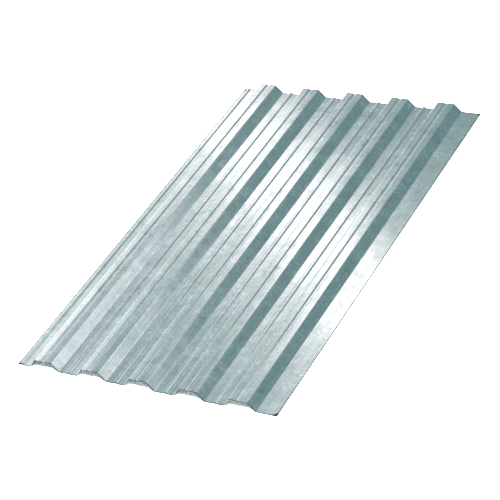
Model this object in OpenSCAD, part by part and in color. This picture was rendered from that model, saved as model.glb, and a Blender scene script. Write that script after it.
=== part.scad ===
// Trapezoidal profiled sheet for roofs, walls and fences: one strip of galvanised steel,
// cold-rolled to a ribbed section and cut to length. It lies as it is stored, ribs up.
// X runs across the ribs, Y along them and Z up. The origin is at the middle of the floor
// face of the sheet's box.

/* [Strip] */
// Length of the sheet, along its ribs
sheet_l = 1750; // [300:10:6000]
// Thickness of the steel
steel_t = 0.7; // [0.5:0.05:1.2]

/* [Ribs] */
// Number of ribs
rib_count = 5; // [1:1:7]
// Distance from the middle of one rib to the middle of the next
rib_pitch = 200; // [165:1:260]
// Depth of the whole section, from the floor to the top of the ribs
section_h = 35; // [15:1:60]
// Width of a rib's flat crest, between its two bend lines
crest_w = 70; // [40:1:95]
// Width of one sloping web, seen from above
web_w = 27.5; // [12:0.5:32]
// Radius inside the bends between webs, crests and pans
bend_r = 3; // [1:0.5:4]

/* [Stiffeners] */
// Width of the groove rolled along the middle of each crest
groove_w = 16; // [14:1:30]
// Width of that groove's flat floor
groove_floor_w = 8; // [6:1:8]
// Depth of that groove
groove_h = 4; // [3:0.5:5]
// Width of the ridge rolled along the middle of each pan
ridge_w = 16; // [14:1:30]
// Width of that ridge's flat top
ridge_top_w = 8; // [6:1:8]
// Height of that ridge
ridge_h = 4; // [3:0.5:5]
// Radius inside the bends of grooves and ridges
stiffener_r = 2; // [1:0.5:2.5]

/* [Side laps] */
// Width of the strip outside the last ridge, on the side of the ridged lap
edge_strip_w = 9.5; // [3:0.5:40]
// Width of the plain lap, from the last rib's foot to the cut edge
plain_lap_w = 80; // [10:1:120]

/* [Hidden] */

// Degrees of bend that one flat facet takes up
FACET_DEG = 9;
// Colour of new zinc
ZINC = [0.68, 0.74, 0.76];

// Height from a pan to a crest, both measured at mid-thickness
line_h = section_h - steel_t;
// Half the width of a rib, from its middle to its foot
rib_half_w = crest_w / 2 + web_w;
// Middle of the ridged lap's ridge, with the first rib's middle at zero: half a pitch away,
// so that it nests with the ridges in the pans
lap_ridge_x = -rib_pitch / 2;
// Middle of the last rib, in the same measure
last_rib_x = (rib_count - 1) * rib_pitch;
// The two cut edges, in the same measure
edge_x = [lap_ridge_x - ridge_w / 2 - edge_strip_w, last_rib_x + rib_half_w + plain_lap_w];
// Shift that centres the section on x = 0
centre_dx = -(edge_x[0] + edge_x[1]) / 2;

// Bend lines of one rib about x, from its left foot to its right foot.
// Each is [x, z, inside radius].
function rib_line(x) = [
    [x - rib_half_w, 0, bend_r],
    [x - crest_w / 2, line_h, bend_r],
    [x - groove_w / 2, line_h, stiffener_r],
    [x - groove_floor_w / 2, line_h - groove_h, stiffener_r],
    [x + groove_floor_w / 2, line_h - groove_h, stiffener_r],
    [x + groove_w / 2, line_h, stiffener_r],
    [x + crest_w / 2, line_h, bend_r],
    [x + rib_half_w, 0, bend_r]
];

// Bend lines of the ridge in a pan, about x
function ridge_line(x) = [
    [x - ridge_w / 2, 0, stiffener_r],
    [x - ridge_top_w / 2, ridge_h, stiffener_r],
    [x + ridge_top_w / 2, ridge_h, stiffener_r],
    [x + ridge_w / 2, 0, stiffener_r]
];

// Bend lines of the whole section, from cut edge to cut edge
function section_line() = [
    [edge_x[0], 0, 0],
    each ridge_line(lap_ridge_x),
    for (i = [0 : rib_count - 1]) each [
        each rib_line(i * rib_pitch),
        if (i < rib_count - 1) each ridge_line((i + 0.5) * rib_pitch)
    ],
    [edge_x[1], 0, 0]
];

// Heading of the strip from point a to point b, in degrees above +X
function heading(a, b) = atan2(b[1] - a[1], b[0] - a[0]);

// One bend of the strip between headings h1 and h2, as stations [x, z, heading] at mid-thickness.
// They lie on the arc that touches both flats, so that both faces of the steel are true arcs.
function bend(at, h1, h2) =
    let (
        turn = h2 - h1,
        side = sign(turn),
        r = at[2] + steel_t / 2,
        reach = r * tan(abs(turn) / 2),
        start = [at[0] - reach * cos(h1), at[1] - reach * sin(h1)],
        centre = start + side * r * [-sin(h1), cos(h1)],
        facets = ceil(abs(turn) / FACET_DEG)
    )
    [for (k = [0 : facets])
        let (h = h1 + turn * k / facets)
        [centre[0] + side * r * sin(h), centre[1] - side * r * cos(h), h]];

// Stations of the whole strip: its two cut edges and every bend between them
function stations(line) =
    let (last = len(line) - 1)
    [
        [line[0][0], line[0][1], heading(line[0], line[1])],
        for (i = [1 : last - 1])
            each bend(line[i], heading(line[i - 1], line[i]), heading(line[i], line[i + 1])),
        [line[last][0], line[last][1], heading(line[last - 1], line[last])]
    ];

// One face of the steel: the stations moved square to the strip, d upwards
function face(strip, d) = [for (s = strip) [s[0] - d * sin(s[2]), s[1] + d * cos(s[2])]];

// The section of the steel, with its underside on the floor
module section() {
    strip = stations(section_line());
    top = face(strip, steel_t / 2);
    under = face(strip, -steel_t / 2);
    translate([centre_dx, steel_t / 2])
        polygon([each top, for (i = [len(under) - 1 : -1 : 0]) under[i]]);
}

// The sheet: the section drawn out along Y
module profiled_sheet() {
    color(ZINC)
        translate([0, sheet_l / 2, 0])
            rotate([90, 0, 0])
                linear_extrude(height = sheet_l)
                    section();
}

profiled_sheet();
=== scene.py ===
"""A trapezoidal profiled sheet of galvanised steel, lying ribs up on a pale studio floor.

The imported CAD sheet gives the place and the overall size. A Geometry Nodes tree rolls the visible
sheet to the same section, and procedural materials give it its zinc.
"""

import logging
import math
from dataclasses import dataclass, field
from enum import Enum
from functools import partial
from typing import Any, Callable, Mapping, Optional, Sequence, Union

import bpy
from mathutils import Matrix, Vector


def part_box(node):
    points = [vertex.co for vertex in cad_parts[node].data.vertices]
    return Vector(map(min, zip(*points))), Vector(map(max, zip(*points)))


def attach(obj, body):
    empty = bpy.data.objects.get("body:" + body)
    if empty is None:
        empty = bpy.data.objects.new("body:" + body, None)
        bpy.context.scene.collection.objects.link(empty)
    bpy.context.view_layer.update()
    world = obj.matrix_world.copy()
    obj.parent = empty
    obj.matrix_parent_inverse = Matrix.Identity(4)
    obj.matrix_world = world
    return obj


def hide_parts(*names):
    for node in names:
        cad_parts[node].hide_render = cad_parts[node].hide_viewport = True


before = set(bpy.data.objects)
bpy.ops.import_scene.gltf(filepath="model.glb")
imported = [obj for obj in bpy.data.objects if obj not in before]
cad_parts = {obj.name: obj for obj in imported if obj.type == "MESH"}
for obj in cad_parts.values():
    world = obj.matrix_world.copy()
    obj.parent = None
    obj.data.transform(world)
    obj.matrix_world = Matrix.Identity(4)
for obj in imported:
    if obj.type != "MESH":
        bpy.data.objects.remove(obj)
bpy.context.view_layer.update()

log = logging.getLogger("profiled_sheet")

MM = 0.001
NODE = "profiled_sheet"
BODY = "root"
STRIP_UV = "strip_uv"
FROM_CUT = "from_cut"

# Blender's names for the nodes that are used most. A ramp takes a value, the two values it runs
# between, and the two that it gives there, which are 0 and 1 unless given.
MATH = "ShaderNodeMath"
VECTOR_MATH = "ShaderNodeVectorMath"
COMBINE = "ShaderNodeCombineXYZ"
SEPARATE = "ShaderNodeSeparateXYZ"
RAMP = "ShaderNodeMapRange"
MIX = "ShaderNodeMix"
NOISE = "ShaderNodeTexNoise"
CELLS = "ShaderNodeTexVoronoi"

# Adds a node to one tree: add_node with its tree already given
Add = Callable[..., bpy.types.Node]
# What a node's socket takes: another node, one of its outputs, or a plain value
Source = Union[bpy.types.Node, bpy.types.NodeSocket, float, tuple]
# A node's outputs by name
Outputs = Mapping[str, bpy.types.NodeSocket]


# ---------------------------------------------------------------- small tools


def add_node(
    tree: bpy.types.NodeTree,
    kind: str,
    *values: Source,
    named: Optional[Mapping[str, Any]] = None,
    **settings: Any,
) -> bpy.types.Node:
    """Adds one node to a tree, with its settings and links.

    Args:
        tree: The node tree, of geometry or of a shader.
        kind: Blender's name for the type of node.
        *values: What goes into the sockets that the settings leave in use, in order. A node
            stands for its first output.
        named: What goes into sockets by name instead.
        **settings: Values for the node's own properties.

    Returns:
        The new node.
    """
    node = tree.nodes.new(kind)
    for name, value in settings.items():
        setattr(node, name, value)
    fed = list(zip([socket for socket in node.inputs if socket.enabled], values))
    fed += [(node.inputs[name], value) for name, value in (named or {}).items()]
    for socket, value in fed:
        if isinstance(value, bpy.types.Node):
            value = next(output for output in value.outputs if output.enabled)
        if isinstance(value, bpy.types.NodeSocket):
            tree.links.new(value, socket)
        else:
            socket.default_value = value
    return node


def linear(colour: str) -> tuple[float, float, float, float]:
    """Turns an sRGB hex colour into linear red, green, blue and alpha.

    Args:
        colour: The colour, such as "#A0B0C0".

    Returns:
        Its linear values, with an alpha of 1.
    """
    parts = [int(colour[i : i + 2], 16) / 255 for i in (1, 3, 5)]
    red, green, blue = [
        c / 12.92 if c <= 0.04045 else ((c + 0.055) / 1.055) ** 2.4 for c in parts
    ]
    return red, green, blue, 1.0


def heading(azimuth: float, elevation: float) -> Vector:
    """Gives the unit vector towards a direction of the room.

    Args:
        azimuth: Degrees clockwise from +Y, seen from above.
        elevation: Degrees above the horizon.

    Returns:
        The direction.
    """
    a, e = math.radians(azimuth), math.radians(elevation)
    return Vector((math.sin(a) * math.cos(e), math.cos(a) * math.cos(e), math.sin(e)))


# ---------------------------------------------------------------- finishes


@dataclass(frozen=True)
class GalvanisedSteel:
    """Hot-dip galvanised steel with a regular spangle, cold-rolled after it was coated.

    The zinc freezes into flat crystals as the strip leaves the bath. Some are smooth and some are
    frosted with fine feathers, and each lies at its own small tilt, so neighbours catch different
    parts of the room and the sheet looks mottled. The rolls then leave faint lines along the ribs.
    """

    name: str = "galvanised_steel"
    # The body of the zinc, then the tints of its crystals
    dull: str = "#B2B7B8"
    zinc: str = "#CACED0"
    bright: str = "#E6E9EA"
    green: str = "#C5D0CA"
    violet: str = "#CBCBD5"
    # Painted shade beside each cut and end, for the shade of the rolled-down edge: its dark teal
    # colour and its width
    painted_edge_shade: str = "#2C4043"
    painted_shade_width: float = 5 * MM
    # Width of a large crystal and of a small one, and how far their edges stray, as a share of
    # the small one's width
    crystal: float = 30 * MM
    grain: float = 9 * MM
    stray: float = 0.6
    # Width of the feathers in a crystal, that width as a share of their length, and the range of
    # noise that draws them. Real ones are finer: these are as coarse as they need to be to show.
    feather: float = 3 * MM
    feather_slim: float = 0.2
    feather_range: tuple[float, float] = (0.3, 0.7)
    # Width of the soft clouds that the bath leaves
    cloud: float = 90 * MM
    # Spacing of the lines that the rolls leave, fine and broad, and that spacing as a share of
    # their length. Real ones are finer: these are as coarse as they need to be to show.
    roll_line: float = 4 * MM
    broad_line: float = 14 * MM
    line_slim: float = 0.01
    # Weights in the lightness: large and small crystals, feathers, clouds and broad roll lines
    shade_weights: tuple[float, ...] = (0.2, 0.26, 0.16, 0.6, 0.2)
    # Shades that give the dull, the plain and the bright zinc
    shade_steps: tuple[float, float, float] = (0.1, 0.5, 0.9)
    # Random numbers between which a large crystal turns green and a small one violet, and how
    # far the tint goes
    green_from: tuple[float, float] = (0.7, 0.9)
    violet_from: tuple[float, float] = (0.3, 0.1)
    tint: float = 0.5
    # Roughness of the smoothest and of the most frosted zinc, and the frost that gives each
    smooth: float = 0.07
    frosted: float = 0.16
    frost_steps: tuple[float, float] = (0.1, 0.9)
    # Weights in the frost: large and small crystals, feathers and broad roll lines
    frost_weights: tuple[float, ...] = (0.3, 0.25, 0.1, 0.7)
    # Tilt of a large crystal, as the sideways part of its normal, and a small one's share of it
    tilt: float = 0.0016
    small_tilt: float = 0.7
    # Tilt that the fine and the broad roll lines add
    line_tilt: float = 0.003
    broad_tilt: float = 0.008

    def build(self) -> bpy.types.Material:
        """Makes the material.

        Returns:
            The material, with its patterns laid out on the flat strip before it was rolled.
        """
        material = bpy.data.materials.new(self.name)
        material.use_nodes = True
        tree = material.node_tree
        shader = tree.nodes["Principled BSDF"]
        shader.inputs["Metallic"].default_value = 1.0
        add = partial(add_node, tree)

        strip = add("ShaderNodeUVMap", uv_map=STRIP_UV)
        ragged = self._ragged(add, strip)
        large = self._crystals(add, ragged, self.crystal)
        small = self._crystals(add, ragged, self.grain)
        feathers = self._feathers(add, strip, large["Y"])
        lines = self._roll_lines(add, strip, self.roll_line)
        broad = self._roll_lines(add, strip, self.broad_line)
        cloud = add(NOISE, strip, noise_dimensions="2D",
                    named={"Scale": 1 / self.cloud, "Detail": 3.0})

        shade = self._shade(add, large, small, feathers, cloud, broad)
        colour = self._colour(add, shade, large["Z"], small["Z"])
        frost = self._frost(add, large["Y"], small["Y"], feathers, broad)
        tree.links.new(colour.outputs["Result"], shader.inputs["Base Color"])
        tree.links.new(frost.outputs["Result"], shader.inputs["Roughness"])
        normal = self._normal(add, large, small, lines, broad)
        tree.links.new(normal.outputs["Normal"], shader.inputs["Normal"])
        return material

    def _ragged(self, add: Add, strip: Source) -> bpy.types.Node:
        """Shakes the strip's coordinates, which makes the crystals' edges ragged.

        Args:
            add: Adds a node to the material.
            strip: The place on the flat strip.

        Returns:
            The shaken place.
        """
        noise = add(NOISE, strip, noise_dimensions="2D",
                    named={"Scale": 1 / self.grain, "Detail": 2.0}).outputs["Color"]
        shift = add(VECTOR_MATH, noise, (0.5, 0.5, 0.5), operation="SUBTRACT")
        shift = add(VECTOR_MATH, shift, self.stray * self.grain, operation="SCALE")
        return add(VECTOR_MATH, strip, shift, operation="ADD")

    @staticmethod
    def _crystals(add: Add, place: Source, width: float) -> Outputs:
        """Scatters crystals of one width over the strip.

        Args:
            add: Adds a node to the material.
            place: The place on the strip.
            width: The crystals' usual width.

        Returns:
            Three random numbers for each crystal, X, Y and Z, from 0 to 1.
        """
        cells = add(CELLS, place, 1 / width, voronoi_dimensions="2D")
        return add(SEPARATE, cells.outputs["Color"]).outputs

    def _feathers(self, add: Add, strip: Source, turn: Source) -> bpy.types.Node:
        """Draws the fine feathers of each crystal, which all run one way inside it.

        Args:
            add: Adds a node to the material.
            strip: The place on the flat strip.
            turn: The crystal's random number, which turns its feathers.

        Returns:
            The feathers, from 0 to 1.
        """
        angle = add(MATH, turn, math.tau, operation="MULTIPLY")
        turned = add("ShaderNodeVectorRotate", strip, named={"Angle": angle},
                     rotation_type="Z_AXIS")
        drawn = add(VECTOR_MATH, turned, (1.0, self.feather_slim, 1.0), operation="MULTIPLY")
        noise = add(NOISE, drawn, noise_dimensions="2D",
                    named={"Scale": 1 / self.feather, "Detail": 2.0, "Roughness": 0.6})
        return add(RAMP, noise, *self.feather_range, interpolation_type="SMOOTHSTEP")

    def _roll_lines(self, add: Add, strip: Source, spacing: float) -> bpy.types.Node:
        """Draws the long faint lines that the rolls leave along the ribs.

        Args:
            add: Adds a node to the material.
            strip: The place on the flat strip.
            spacing: The lines' usual spacing.

        Returns:
            The lines, from 0 to 1.
        """
        drawn = add(VECTOR_MATH, strip, (1.0, self.line_slim, 1.0), operation="MULTIPLY")
        return add(NOISE, drawn, noise_dimensions="2D",
                   named={"Scale": 1 / spacing, "Detail": 2.0})

    @staticmethod
    def _weighed(add: Add, patterns: Sequence[Source], weights: Sequence[float]) -> Source:
        """Adds up patterns, each about its middle of 0.5.

        Args:
            add: Adds a node to the material.
            patterns: The patterns, from 0 to 1.
            weights: The weight of each.

        Returns:
            The sum, about 0.5.
        """
        total: Source = 0.5
        for pattern, weight in zip(patterns, weights):
            off = add(MATH, pattern, -0.5, operation="ADD")
            total = add(MATH, off, weight, total, operation="MULTIPLY_ADD")
        return total

    def _shade(
        self,
        add: Add,
        large: Outputs,
        small: Outputs,
        feathers: Source,
        cloud: Source,
        broad: Source,
    ) -> Source:
        """Gives each place's lightness from its crystals, feathers, cloud and roll lines.

        Args:
            add: Adds a node to the material.
            large: The large crystals' random numbers.
            small: The small crystals' random numbers.
            feathers: The feathers.
            cloud: The soft clouds.
            broad: The broad roll lines.

        Returns:
            The lightness, about 0.5.
        """
        patterns = (large["X"], small["X"], feathers, cloud, broad)
        return self._weighed(add, patterns, self.shade_weights)

    def _colour(self, add: Add, shade: Source, hue: Source, fine_hue: Source) -> bpy.types.Node:
        """Colours the zinc: dull to bright by its shade, tinted by crystal, and darkened with
        painted shade beside the cuts.

        Args:
            add: Adds a node to the material.
            shade: The lightness.
            hue: The large crystals' random number for their tint.
            fine_hue: The small crystals' random number for their tint.

        Returns:
            The colour.
        """
        dull, plain, bright = self.shade_steps
        dark = add(RAMP, shade, dull, plain, interpolation_type="SMOOTHSTEP")
        light = add(RAMP, shade, plain, bright, interpolation_type="SMOOTHSTEP")
        body = add(MIX, dark, linear(self.dull), linear(self.zinc), data_type="RGBA")
        body = add(MIX, light, body, linear(self.bright), data_type="RGBA")
        green = add(RAMP, hue, *self.green_from, 0.0, self.tint, interpolation_type="SMOOTHSTEP")
        body = add(MIX, green, body, linear(self.green), data_type="RGBA")
        violet = add(RAMP, fine_hue, *self.violet_from, 0.0, self.tint,
                     interpolation_type="SMOOTHSTEP")
        body = add(MIX, violet, body, linear(self.violet), data_type="RGBA")
        # Painted shade: within the border of each cut edge and end the zinc turns dark teal, for
        # the shade of the rolled-down edge
        from_cut = add("ShaderNodeAttribute", attribute_name=FROM_CUT).outputs["Fac"]
        painted_shade_share = add(RAMP, from_cut, 0.5 * self.painted_shade_width, self.painted_shade_width, 1.0, 0.0,
                   interpolation_type="SMOOTHSTEP")
        return add(MIX, painted_shade_share, body, linear(self.painted_edge_shade), data_type="RGBA")

    def _frost(
        self, add: Add, large: Source, small: Source, feathers: Source, broad: Source
    ) -> bpy.types.Node:
        """Gives the roughness, from smooth crystals to frosted ones.

        Args:
            add: Adds a node to the material.
            large: The large crystals' random number for their frost.
            small: The small crystals' random number for their frost.
            feathers: The feathers.
            broad: The broad roll lines.

        Returns:
            The roughness.
        """
        frost = self._weighed(add, (large, small, feathers, broad), self.frost_weights)
        return add(RAMP, frost, *self.frost_steps, self.smooth, self.frosted,
                   interpolation_type="SMOOTHSTEP")

    def _normal(
        self, add: Add, large: Outputs, small: Outputs, lines: Source, broad: Source
    ) -> bpy.types.Node:
        """Tilts the surface crystal by crystal and line by line.

        Args:
            add: Adds a node to the material.
            large: The large crystals' random numbers.
            small: The small crystals' random numbers.
            lines: The fine roll lines.
            broad: The broad roll lines.

        Returns:
            The normal, worked out on the flat strip.
        """
        tilts = (self.tilt, self.small_tilt * self.tilt, self.line_tilt, self.broad_tilt)
        across = self._weighed(add, (large["X"], small["Y"], lines, broad), tilts)
        along = self._weighed(add, (large["Z"], small["X"]), tilts[:2])
        colour = add(COMBINE, across, along, 1.0)
        return add("ShaderNodeNormalMap", 1.0, colour, uv_map=STRIP_UV)


@dataclass(frozen=True)
class ShearedEdge:
    """The bare edge that the shear and the slitter leave: grey steel under a smear of zinc.

    It is rougher and duller than the faces, so it draws a thin grey line round the sheet.
    """

    name: str = "sheared_edge"
    steel: str = "#7F8C8E"
    smear: str = "#A9B5B7"
    roughness: float = 0.42
    # Spacing of the shear's marks, which are as coarse as they need to be to show, and the range
    # of the marks over which steel gives way to zinc
    mark: float = 1.5 * MM
    smeared: tuple[float, float] = (0.4, 0.6)

    def build(self) -> bpy.types.Material:
        """Makes the material.

        Returns:
            The material, marked in patches by the shear.
        """
        material = bpy.data.materials.new(self.name)
        material.use_nodes = True
        tree = material.node_tree
        shader = tree.nodes["Principled BSDF"]
        shader.inputs["Metallic"].default_value = 1.0
        shader.inputs["Roughness"].default_value = self.roughness
        add = partial(add_node, tree)
        place = add("ShaderNodeTexCoord").outputs["Object"]
        marks = add(NOISE, place, 1 / self.mark)
        share = add(RAMP, marks, *self.smeared, interpolation_type="SMOOTHSTEP")
        colour = add(MIX, share, linear(self.steel), linear(self.smear), data_type="RGBA")
        tree.links.new(colour.outputs["Result"], shader.inputs["Base Color"])
        return material


@dataclass(frozen=True)
class StudioFloor:
    """A matt white painted floor, clean enough to show only soft shadows."""

    name: str = "matt_white_floor"
    paint: str = "#F3F4F4"
    roughness: float = 0.9
    specular: float = 0.1

    def build(self) -> bpy.types.Material:
        """Makes the material.

        Returns:
            The material, plain white.
        """
        material = bpy.data.materials.new(self.name)
        material.use_nodes = True
        shader = material.node_tree.nodes["Principled BSDF"]
        shader.inputs["Base Color"].default_value = linear(self.paint)
        shader.inputs["Roughness"].default_value = self.roughness
        shader.inputs["Specular IOR Level"].default_value = self.specular
        return material


# ---------------------------------------------------------------- the sheet


class Bend(Enum):
    """The bend lines of one pitch, in order across the sheet."""

    RIDGE_FOOT_LEFT = 0
    RIDGE_TOP_LEFT = 1
    RIDGE_TOP_RIGHT = 2
    RIDGE_FOOT_RIGHT = 3
    RIB_FOOT_LEFT = 4
    CREST_LEFT = 5
    GROOVE_EDGE_LEFT = 6
    GROOVE_FLOOR_LEFT = 7
    GROOVE_FLOOR_RIGHT = 8
    GROOVE_EDGE_RIGHT = 9
    CREST_RIGHT = 10
    RIB_FOOT_RIGHT = 11


@dataclass
class ProfiledSheet:
    """The rolled sheet: one strip of steel, bent along the ribs and cut to width and length.

    The section's sizes are those of the CAD sheet, in metres.
    """

    steel: GalvanisedSteel = field(default_factory=GalvanisedSteel)
    edge: ShearedEdge = field(default_factory=ShearedEdge)
    rib_count: int = 5
    rib_pitch: float = 200 * MM
    section_h: float = 35 * MM
    crest_w: float = 70 * MM
    web_w: float = 27.5 * MM
    bend_r: float = 3 * MM
    groove_w: float = 16 * MM
    groove_floor_w: float = 8 * MM
    groove_h: float = 4 * MM
    ridge_w: float = 16 * MM
    ridge_top_w: float = 8 * MM
    ridge_h: float = 4 * MM
    stiffener_r: float = 2 * MM
    edge_strip_w: float = 9.5 * MM
    plain_lap_w: float = 80 * MM
    steel_t: float = 0.7 * MM
    # How finely the strip is divided: points in a bend, and steps across flats and along the ribs
    bend_points: int = 4
    step_across: float = 7 * MM
    step_along: float = 25 * MM
    # How far the crests dome and the pans sag between their bends, from the roll forming
    crest_dome: float = 0.22 * MM
    pan_sag: float = 0.04 * MM
    # How much more they do at the near end, and the length over which that fades
    near_dome: float = 0.30 * MM
    near_sag: float = 0.15 * MM
    near_length: float = 1000 * MM
    # Lift of the shallow waves that rolling leaves in the flats, their width and their length
    wave_lift: float = 0.12 * MM
    wave_width: float = 90 * MM
    wave_length: float = 700 * MM
    seed: float = 3.7
    # Points closer than this are welded, where the faces meet the cut edges
    weld: float = 0.01 * MM

    def build(self) -> bpy.types.Object:
        """Makes the sheet and puts it on its body.

        Returns:
            The finished piece, which stands for the CAD node.
        """
        low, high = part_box(NODE)
        carrier = bpy.data.objects.new("strip", bpy.data.meshes.new("strip"))
        bpy.context.scene.collection.objects.link(carrier)
        modifier = carrier.modifiers.new("roll_forming", "NODES")
        sizes = self._sizes(high.y - low.y)
        modifier.node_group = self._roll_forming(sizes)
        self._set_inputs(modifier, sizes)
        # The widest faces set the normals, so the flats shade flat right up to their bends
        weighted = carrier.modifiers.new("true_flats", "WEIGHTED_NORMAL")
        weighted.keep_sharp = True
        weighted.weight = 100

        evaluated = carrier.evaluated_get(bpy.context.evaluated_depsgraph_get())
        mesh = bpy.data.meshes.new_from_object(evaluated)
        mesh.name = "rolled_sheet"
        piece = bpy.data.objects.new("rolled_sheet", mesh)
        bpy.context.scene.collection.objects.link(piece)
        bpy.data.objects.remove(carrier)

        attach(piece, BODY)
        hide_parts(NODE)
        return piece

    def _sizes(self, length: float) -> dict[str, Any]:
        """Gives the tree's inputs by name.

        Args:
            length: The sheet's length, from the CAD node.

        Returns:
            Each named input's value.
        """
        return {
            "Length": length,
            "Rib Count": self.rib_count,
            "Rib Pitch": self.rib_pitch,
            "Section Height": self.section_h,
            "Crest Width": self.crest_w,
            "Web Width": self.web_w,
            "Bend Radius": self.bend_r,
            "Groove Width": self.groove_w,
            "Groove Floor": self.groove_floor_w,
            "Groove Depth": self.groove_h,
            "Ridge Width": self.ridge_w,
            "Ridge Top": self.ridge_top_w,
            "Ridge Height": self.ridge_h,
            "Stiffener Radius": self.stiffener_r,
            "Edge Strip": self.edge_strip_w,
            "Plain Lap": self.plain_lap_w,
            "Steel Thickness": self.steel_t,
            "Bend Points": self.bend_points,
            "Step Across": self.step_across,
            "Step Along": self.step_along,
            "Crest Dome": self.crest_dome,
            "Pan Sag": self.pan_sag,
            "Near Dome": self.near_dome,
            "Near Sag": self.near_sag,
            "Near Length": self.near_length,
            "Wave Lift": self.wave_lift,
            "Wave Width": self.wave_width,
            "Wave Length": self.wave_length,
            "Seed": self.seed,
            "Weld": self.weld,
            "Steel": self.steel.build(),
            "Cut Edge": self.edge.build(),
        }

    @staticmethod
    def _set_inputs(modifier: bpy.types.Modifier, values: Mapping[str, Any]) -> None:
        """Sets a Geometry Nodes modifier's inputs, each by its socket's identifier.

        Args:
            modifier: The modifier, with its tree.
            values: The inputs' values by name.
        """
        for item in modifier.node_group.interface.items_tree:
            if item.item_type == "SOCKET" and item.in_out == "INPUT" and item.name in values:
                modifier[item.identifier] = values[item.name]

    def _roll_forming(self, names: Mapping[str, Any]) -> bpy.types.NodeTree:
        """Builds the tree that bends the strip to its section and gives it its thickness.

        Args:
            names: The tree's inputs by name, each with a value of its kind.

        Returns:
            The tree, with one socket for each input.
        """
        tree = bpy.data.node_groups.new("roll_forming", "GeometryNodeTree")
        tree.is_modifier = True
        kinds = {float: "NodeSocketFloat", int: "NodeSocketInt"}
        for name, value in names.items():
            kind = kinds.get(type(value), "NodeSocketMaterial")
            tree.interface.new_socket(name, in_out="INPUT", socket_type=kind)
        tree.interface.new_socket("Sheet", in_out="OUTPUT", socket_type="NodeSocketGeometry")
        add = partial(add_node, tree)
        size = add("NodeGroupInput").outputs

        line = self._section_line(add, size)
        surface = self._strip_surface(add, size, line)
        waved = self._waves(add, size, surface)
        solid, edges = self._thickness(add, size, waved)

        real = add("GeometryNodeRealizeInstances", solid)
        zinc = add("GeometryNodeSetMaterial", real, named={"Material": size["Steel"]})
        cut = add("GeometryNodeSetMaterial", zinc, edges, size["Cut Edge"])
        add("NodeGroupOutput", cut)
        return tree

    def _bend_lines(self, add: Add, size: Outputs, place: Source) -> bpy.types.Node:
        """Gives the bend line at a place in its pitch, as (x from the rib, radius, height).

        Args:
            add: Adds a node to the tree.
            size: The tree's named inputs.
            place: The bend's number, in the order of Bend.

        Returns:
            The vector of the bend at that place.
        """
        half = {name: add(MATH, size[name], 2.0, operation="DIVIDE")
                for name in ("Rib Pitch", "Ridge Width", "Ridge Top", "Groove Width",
                             "Groove Floor", "Crest Width", "Steel Thickness")}
        foot = add(MATH, half["Crest Width"], size["Web Width"], operation="ADD")
        top = add(MATH, size["Section Height"], size["Steel Thickness"], operation="SUBTRACT")
        dome = add(MATH, top, size["Crest Dome"], operation="ADD")
        low = add(MATH, dome, size["Groove Depth"], operation="SUBTRACT")
        wide = add(MATH, size["Bend Radius"], half["Steel Thickness"], operation="ADD")
        tight = add(MATH, size["Stiffener Radius"], half["Steel Thickness"], operation="ADD")
        ridge = add(MATH, half["Rib Pitch"], -1.0, operation="MULTIPLY")
        ridge_top, sag = size["Ridge Height"], size["Pan Sag"]

        # Each pair of bends: the line they stand about, how far from it, their radius and height
        pairs = {
            (Bend.RIDGE_FOOT_LEFT, Bend.RIDGE_FOOT_RIGHT): (ridge, "Ridge Width", tight, 0.0),
            (Bend.RIDGE_TOP_LEFT, Bend.RIDGE_TOP_RIGHT): (ridge, "Ridge Top", tight, ridge_top),
            (Bend.RIB_FOOT_LEFT, Bend.RIB_FOOT_RIGHT): (0.0, foot, wide, sag),
            (Bend.CREST_LEFT, Bend.CREST_RIGHT): (0.0, "Crest Width", wide, top),
            (Bend.GROOVE_EDGE_LEFT, Bend.GROOVE_EDGE_RIGHT): (0.0, "Groove Width", tight, dome),
            (Bend.GROOVE_FLOOR_LEFT, Bend.GROOVE_FLOOR_RIGHT): (0.0, "Groove Floor", tight, low),
        }
        switch = add("GeometryNodeIndexSwitch", place, data_type="VECTOR")
        while len(switch.index_switch_items) < len(Bend):
            switch.index_switch_items.new()
        for (left, right), (about, reach, radius, height) in pairs.items():
            for bend, side in ((left, "SUBTRACT"), (right, "ADD")):
                x = add(MATH, about, half.get(reach, reach), operation=side)
                line = add(COMBINE, x, radius, height).outputs[0]
                # The switch's first input is the place itself
                switch.id_data.links.new(line, switch.inputs[1 + bend.value])
        return switch

    def _cut_edges(self, add: Add, size: Outputs) -> tuple[bpy.types.Node, bpy.types.Node]:
        """Places the two cut edges, with the first rib's middle at x = 0.

        Args:
            add: Adds a node to the tree.
            size: The tree's named inputs.

        Returns:
            The left edge's x and the right edge's x.
        """
        left = add(MATH, size["Rib Pitch"], size["Ridge Width"], operation="ADD")
        left = add(MATH, left, -0.5, operation="MULTIPLY")
        left = add(MATH, left, size["Edge Strip"], operation="SUBTRACT")
        right = add(MATH, size["Rib Count"], 1.0, operation="SUBTRACT")
        right = add(MATH, right, size["Rib Pitch"], operation="MULTIPLY")
        right = add(MATH, size["Crest Width"], 0.5, right, operation="MULTIPLY_ADD")
        for name in ("Web Width", "Plain Lap"):
            right = add(MATH, right, size[name], operation="ADD")
        return left, right

    def _section_line(self, add: Add, size: Outputs) -> bpy.types.Node:
        """Draws the section at mid-thickness, from cut edge to cut edge.

        Args:
            add: Adds a node to the tree.
            size: The tree's named inputs.

        Returns:
            A curve in XZ of flats and arcs, centred on x = 0, whose pans lie at z = 0.
        """
        per_rib = float(len(Bend))
        last = add(MATH, size["Rib Count"], per_rib, 1.0, operation="MULTIPLY_ADD")
        index = add("GeometryNodeInputIndex")
        inner = add(MATH, index, 1.0, operation="SUBTRACT")
        place = add(MATH, inner, per_rib, operation="FLOORED_MODULO")
        rib = add(MATH, inner, per_rib, operation="DIVIDE")
        rib = add(MATH, rib, operation="FLOOR")
        shift = add(MATH, rib, size["Rib Pitch"], operation="MULTIPLY")
        bend = add(VECTOR_MATH, self._bend_lines(add, size, place), add(COMBINE, shift),
                   operation="ADD")

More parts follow.
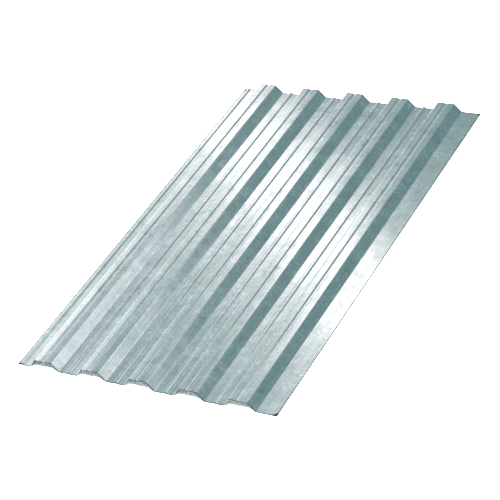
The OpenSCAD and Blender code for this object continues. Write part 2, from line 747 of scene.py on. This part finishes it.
        left, right = self._cut_edges(add, size)
        first = add(MATH, index, 0.5, operation="LESS_THAN")
        end = add(MATH, index, last, 0.5, operation="COMPARE")
        bend = add("GeometryNodeSwitch", first, bend, add(COMBINE, left), input_type="VECTOR")
        bend = add("GeometryNodeSwitch", end, bend, add(COMBINE, right), input_type="VECTOR")

        x, radius, z = add(SEPARATE, bend).outputs
        middle = add(MATH, add(MATH, left, right, operation="ADD"), 0.5, operation="MULTIPLY")
        count = add(MATH, last, 1.0, operation="ADD")
        keep = add("GeometryNodeCaptureAttribute", add("GeometryNodeMeshLine", count),
                   domain="POINT")
        keep.capture_items.new("FLOAT", "Radius")
        keep.id_data.links.new(radius, keep.inputs[1])
        centred = add(COMBINE, add(MATH, x, middle, operation="SUBTRACT"), 0.0, z)
        placed = add("GeometryNodeSetPosition", keep, named={"Position": centred})
        line = add("GeometryNodeMeshToCurve", placed)
        arcs = add("GeometryNodeFilletCurve", line, size["Bend Points"], keep.outputs[1],
                   mode="POLY")

        here = add("GeometryNodeInputPosition")
        following = add(MATH, index, 1.0, operation="ADD")
        there = add("GeometryNodeFieldAtIndex", here, following, data_type="FLOAT_VECTOR")
        run = add(VECTOR_MATH, here, there, operation="DISTANCE")
        cuts = add(MATH, run, size["Step Across"], operation="DIVIDE")
        return add("GeometryNodeSubdivideCurve", arcs, add(MATH, cuts, operation="FLOOR"))

    def _strip_surface(self, add: Add, size: Outputs, line: Source) -> bpy.types.Node:
        """Draws the section out along Y into a surface, and keeps the flat strip's coordinates.

        Args:
            add: Adds a node to the tree.
            size: The tree's named inputs.
            line: The section's curve.

        Returns:
            The mid-surface of the sheet, with its place on the unrolled strip as a UV map and its
            distance from the nearest cut as an attribute.
        """
        columns = add("GeometryNodeAttributeDomainSize", line, component="CURVE")
        columns = columns.outputs["Point Count"]
        steps = add(MATH, size["Length"], size["Step Along"], operation="DIVIDE")
        steps = add(MATH, steps, operation="ROUND")
        across = add(MATH, columns, 1.0, operation="SUBTRACT")
        rows = add(MATH, steps, 1.0, operation="ADD")
        grid = add("GeometryNodeMeshGrid", across, steps, columns, rows)

        here = add("GeometryNodeInputPosition")
        x, y, _ = add(SEPARATE, here).outputs
        column = add(MATH, across, 0.5, x, operation="MULTIPLY_ADD")
        column = add(MATH, column, operation="ROUND")
        along = add(MATH, y, steps, operation="DIVIDE")
        along = add(MATH, along, size["Length"], operation="MULTIPLY")
        run = add("GeometryNodeSplineParameter").outputs["Length"]
        run = add("GeometryNodeSampleIndex", line, run, column, data_type="FLOAT")
        strip = add("GeometryNodeStoreNamedAttribute", grid, data_type="FLOAT2", domain="CORNER",
                    named={"Name": STRIP_UV, "Value": add(COMBINE, run, along)})

        from_cut = self._from_cut(add, size, line, run, along)
        strip = add("GeometryNodeStoreNamedAttribute", strip, data_type="FLOAT", domain="POINT",
                    named={"Name": FROM_CUT, "Value": from_cut})

        place = add("GeometryNodeSampleIndex", line, here, column, data_type="FLOAT_VECTOR")
        place_x, _, place_z = add(SEPARATE, place).outputs
        height = add(MATH, size["Steel Thickness"], 0.5, place_z, operation="MULTIPLY_ADD")
        height = add(MATH, height, self._near_end(add, size, place_z, along), operation="ADD")
        drawn = add(COMBINE, place_x, along, height)
        return add("GeometryNodeSetPosition", strip, named={"Position": drawn})

    def _from_cut(
        self, add: Add, size: Outputs, line: Source, run: Source, along: Source
    ) -> bpy.types.Node:
        """Works out how far each place is from the nearest cut edge or end.

        Args:
            add: Adds a node to the tree.
            size: The tree's named inputs.
            line: The section's curve.
            run: The place across the strip, from its left edge.
            along: The place along the ribs, from the sheet's middle.

        Returns:
            The distance.
        """
        width = add("GeometryNodeCurveLength", line)
        half_length = add(MATH, size["Length"], 0.5, operation="MULTIPLY")
        from_side = add(MATH, width, run, operation="SUBTRACT")
        from_side = add(MATH, from_side, run, operation="MINIMUM")
        from_end = add(MATH, half_length, add(MATH, along, operation="ABSOLUTE"),
                       operation="SUBTRACT")
        return add(MATH, from_side, from_end, operation="MINIMUM")

    def _near_end(self, add: Add, size: Outputs, height: Source, along: Source) -> bpy.types.Node:
        """Works out how much more the crests dome and the pans sag towards the near end.

        Args:
            add: Adds a node to the tree.
            size: The tree's named inputs.
            height: The height in the section, above the pans.
            along: The place along the ribs.

        Returns:
            The lift to add.
        """
        crest = add(MATH, size["Section Height"], size["Steel Thickness"], operation="SUBTRACT")
        domed = add(MATH, crest, size["Crest Dome"], operation="ADD")
        dome = add(RAMP, height, crest, domed, 0.0, size["Near Dome"])
        sag = add(RAMP, height, 0.0, size["Pan Sag"], 0.0, size["Near Sag"])
        from_near = add(MATH, size["Length"], 0.5, along, operation="MULTIPLY_ADD")
        share = add(RAMP, from_near, 0.0, size["Near Length"], 1.0, 0.0)
        return add(MATH, add(MATH, dome, sag, operation="ADD"), share, operation="MULTIPLY")

    def _waves(self, add: Add, size: Outputs, surface: Source) -> bpy.types.Node:
        """Lifts the surface in the shallow waves that cold rolling leaves along the ribs.

        Args:
            add: Adds a node to the tree.
            size: The tree's named inputs.
            surface: The mid-surface.

        Returns:
            The waved surface.
        """
        strip = add("GeometryNodeInputNamedAttribute", STRIP_UV, data_type="FLOAT_VECTOR")
        run, along, _ = add(SEPARATE, strip).outputs
        run = add(MATH, run, size["Wave Width"], operation="DIVIDE")
        along = add(MATH, along, size["Wave Length"], operation="DIVIDE")
        noise = add(NOISE, add(COMBINE, run, along, size["Seed"]),
                    named={"Scale": 1.0, "Detail": 1.0})
        lift = add(MATH, noise, size["Wave Lift"], operation="MULTIPLY")
        offset = add(VECTOR_MATH, add("GeometryNodeInputNormal"), lift, operation="SCALE")
        return add("GeometryNodeSetPosition", surface, named={"Offset": offset})

    def _thickness(
        self, add: Add, size: Outputs, surface: Source
    ) -> tuple[bpy.types.Node, bpy.types.NodeSocket]:
        """Gives the mid-surface the steel's thickness, half of it to each side.

        Args:
            add: Adds a node to the tree.
            size: The tree's named inputs.
            surface: The mid-surface.

        Returns:
            The closed sheet, and the selection of its cut edges.
        """
        down = add(MATH, size["Steel Thickness"], -0.5, operation="MULTIPLY")
        offset = add(VECTOR_MATH, add("GeometryNodeInputNormal"), down, operation="SCALE")
        under = add("GeometryNodeSetPosition", surface, named={"Offset": offset})
        raised = add("GeometryNodeExtrudeMesh", under, mode="FACES",
                     named={"Offset Scale": size["Steel Thickness"], "Individual": False})
        edges = raised.outputs["Side"]
        both = add("GeometryNodeJoinGeometry", raised)
        turned = add("GeometryNodeFlipFaces", under)
        both.id_data.links.new(turned.outputs[0], both.inputs[0])
        closed = add("GeometryNodeMergeByDistance", both, named={"Distance": size["Weld"]})
        flat = add("FunctionNodeBooleanMath", edges, operation="NOT")
        smooth = add("GeometryNodeSetShadeSmooth", closed, named={"Shade Smooth": flat})
        return smooth, edges


# ---------------------------------------------------------------- the studio


@dataclass
class Floor:
    """The studio floor that the sheet lies on."""

    finish: StudioFloor = field(default_factory=StudioFloor)
    half_width: float = 14.0

    def build(self) -> bpy.types.Object:
        """Makes the floor, at the height that the sheet lies on.

        Returns:
            The floor.
        """
        w = self.half_width
        mesh = bpy.data.meshes.new("floor")
        mesh.from_pydata([(-w, -w, 0.0), (w, -w, 0.0), (w, w, 0.0), (-w, w, 0.0)], [],
                         [(0, 1, 2, 3)])
        mesh.materials.append(self.finish.build())
        floor = bpy.data.objects.new("floor", mesh)
        bpy.context.scene.collection.objects.link(floor)
        return floor


@dataclass(frozen=True)
class Softbox:
    """One lit panel of the room, far from the sheet, by the direction it is seen in.

    Azimuth is in degrees clockwise from +Y, seen from above. The other angles are in degrees too:
    edge is how wide the panel's sides fade, edge_high how wide its top and bottom do, and lean
    turns it about its middle.
    """

    azimuth: float
    elevation: float
    width: float
    height: float
    level: float
    edge: float
    edge_high: float = 6.0
    lean: float = 0.0
    colour: str = "#FFF6F5"

    def light(self, add: Add, towards: Source) -> bpy.types.Node:
        """Gives the panel's light in a direction.

        Args:
            add: Adds a node to the world.
            towards: The direction.

        Returns:
            The panel's light, as a colour.
        """
        centre = heading(self.azimuth, self.elevation)
        across = heading(self.azimuth + 90, 0)
        turn = Matrix.Rotation(math.radians(self.lean), 3, centre)
        right, up = turn @ across, turn @ across.cross(centre)
        depth = add(VECTOR_MATH, towards, centre, operation="DOT_PRODUCT")
        amount = add(MATH, depth, 0.0, operation="GREATER_THAN")
        spans = ((right, self.width, self.edge), (up, self.height, self.edge_high))
        for axis, size, edge in spans:
            outer = math.tan(math.radians((size + edge) / 2))
            inner = math.tan(math.radians((size - edge) / 2))
            off = add(VECTOR_MATH, towards, axis, operation="DOT_PRODUCT")
            off = add(MATH, off, depth, operation="DIVIDE")
            off = add(MATH, off, operation="ABSOLUTE")
            fade = add(RAMP, off, inner, outer, 1.0, 0.0, interpolation_type="SMOOTHSTEP")
            amount = add(MATH, amount, fade, operation="MULTIPLY")
        amount = add(MATH, amount, self.level, operation="MULTIPLY")
        return add(VECTOR_MATH, linear(self.colour)[:3], amount, operation="SCALE")


@dataclass
class Studio:
    """The room's light: a soft grey-green room with a few white panels, and a lamp overhead."""

    # The room's walls low down and its ceiling, and the elevations between which one turns
    # into the other
    walls: str = "#7E9D9F"
    ceiling: str = "#C0D9DA"
    rise: tuple[float, float] = (20.0, 60.0)
    # Three narrow panels that overlap, a low bright one beside them, a wide one across the room
    # with a cool glow under it, and two that light the other sides
    panels: tuple[Softbox, ...] = (
        Softbox(azimuth=-32.2, elevation=41.0, width=2.5, height=25.8, level=1.35, edge=1.4,
                edge_high=5.2, lean=22.7, colour="#FFF0EE"),
        Softbox(azimuth=-38.2, elevation=32.8, width=3.7, height=26.4, level=0.52, edge=3.7,
                edge_high=21.6, lean=20.3, colour="#FFF0EE"),
        Softbox(azimuth=-34.7, elevation=37.9, width=10.1, height=21.0, level=0.18, edge=5.2,
                edge_high=16.1, lean=12.8),
        Softbox(azimuth=-45.0, elevation=26.0, width=11.1, height=18.3, level=2.4, edge=7.4,
                edge_high=18.2, lean=-35.0),
        Softbox(azimuth=63.3, elevation=37.3, width=26.7, height=33.4, level=0.9, edge=2.3,
                edge_high=1.4, lean=14.9),
        Softbox(azimuth=47.0, elevation=14.0, width=60.0, height=30.0, level=0.07, edge=20.0,
                edge_high=10.0, colour="#A8D8DB"),
        Softbox(azimuth=131.0, elevation=24.0, width=12.0, height=38.0, level=1.1, edge=8.0,
                edge_high=14.0, lean=15.0),
        Softbox(azimuth=-120.0, elevation=36.0, width=30.0, height=30.0, level=0.8, edge=10.0),
    )
    # The lamp's power in watts, its width and distance in metres, and its direction in degrees
    lamp_power: float = 900.0
    lamp_size: float = 2.6
    lamp_distance: float = 5.0
    lamp_azimuth: float = 143.0
    lamp_elevation: float = 60.0

    def build(self) -> None:
        """Makes the room and the lamp, and sets how the picture is developed."""
        self._room()
        self._lamp()
        settings = bpy.context.scene.view_settings
        settings.view_transform = "Standard"
        settings.look = "None"

    def _room(self) -> None:
        """Lights the world with the walls, the ceiling and the panels."""
        world = bpy.data.worlds.new("studio")
        world.use_nodes = True
        bpy.context.scene.world = world
        add = partial(add_node, world.node_tree)
        towards = add("ShaderNodeTexCoord").outputs["Generated"]
        height = add(SEPARATE, towards).outputs["Z"]
        low, high = (math.sin(math.radians(e)) for e in self.rise)
        share = add(RAMP, height, low, high)
        light = add(MIX, share, linear(self.walls), linear(self.ceiling), data_type="RGBA")
        for panel in self.panels:
            light = add(VECTOR_MATH, light, panel.light(add, towards), operation="ADD")
        background = world.node_tree.nodes["Background"]
        world.node_tree.links.new(light.outputs["Vector"], background.inputs["Color"])

    def _lamp(self) -> None:
        """Hangs the lamp, a round one that faces the middle of the floor."""
        lamp = bpy.data.lights.new("overhead", "AREA")
        lamp.shape = "DISK"
        lamp.size = self.lamp_size
        lamp.energy = self.lamp_power
        rig = bpy.data.objects.new("overhead", lamp)
        rig.location = heading(self.lamp_azimuth, self.lamp_elevation) * self.lamp_distance
        rig.rotation_euler = (-rig.location).to_track_quat("-Z", "Y").to_euler()
        # The zinc mirrors the room and its panels, and the lamp only lights the floor
        rig.visible_glossy = False
        bpy.context.scene.collection.objects.link(rig)


@dataclass
class StudioCamera:
    """The camera, looking down at the sheet from its near right corner."""

    lens: float = 136.0
    sensor: float = 36.0
    aim: tuple[float, float, float] = (0.0107, -0.0958, 0.0)
    distance: float = 6.944
    # Direction from the aim to the camera: degrees from -Y towards +X, and above the floor
    azimuth: float = 37.408
    elevation: float = 36.107
    roll: float = -15.495

    def build(self) -> bpy.types.Object:
        """Makes the camera and looks through it.

        Returns:
            The camera.
        """
        data = bpy.data.cameras.new("camera")
        data.lens = self.lens
        data.sensor_width = self.sensor
        back = heading(180.0 - self.azimuth, self.elevation)
        camera = bpy.data.objects.new("camera", data)
        camera.location = Vector(self.aim) + back * self.distance
        level = (-back).to_track_quat("-Z", "Y").to_matrix()
        turned = level @ Matrix.Rotation(math.radians(self.roll), 3, "Z")
        camera.rotation_euler = turned.to_euler()
        bpy.context.scene.collection.objects.link(camera)
        bpy.context.scene.camera = camera
        return camera


def main() -> None:
    """Builds the studio and the sheet, and reports each piece."""
    logging.basicConfig(level=logging.INFO, format="%(name)s: %(message)s")
    StudioCamera().build()
    Studio().build()
    Floor().build()
    log.info("studio: camera, room, lamp and floor")
    sheet = ProfiledSheet().build()
    triangles = sum(len(face.vertices) - 2 for face in sheet.data.polygons)
    log.info("%s: %d triangles", sheet.name, triangles)


if __name__ == "__main__":
    main()
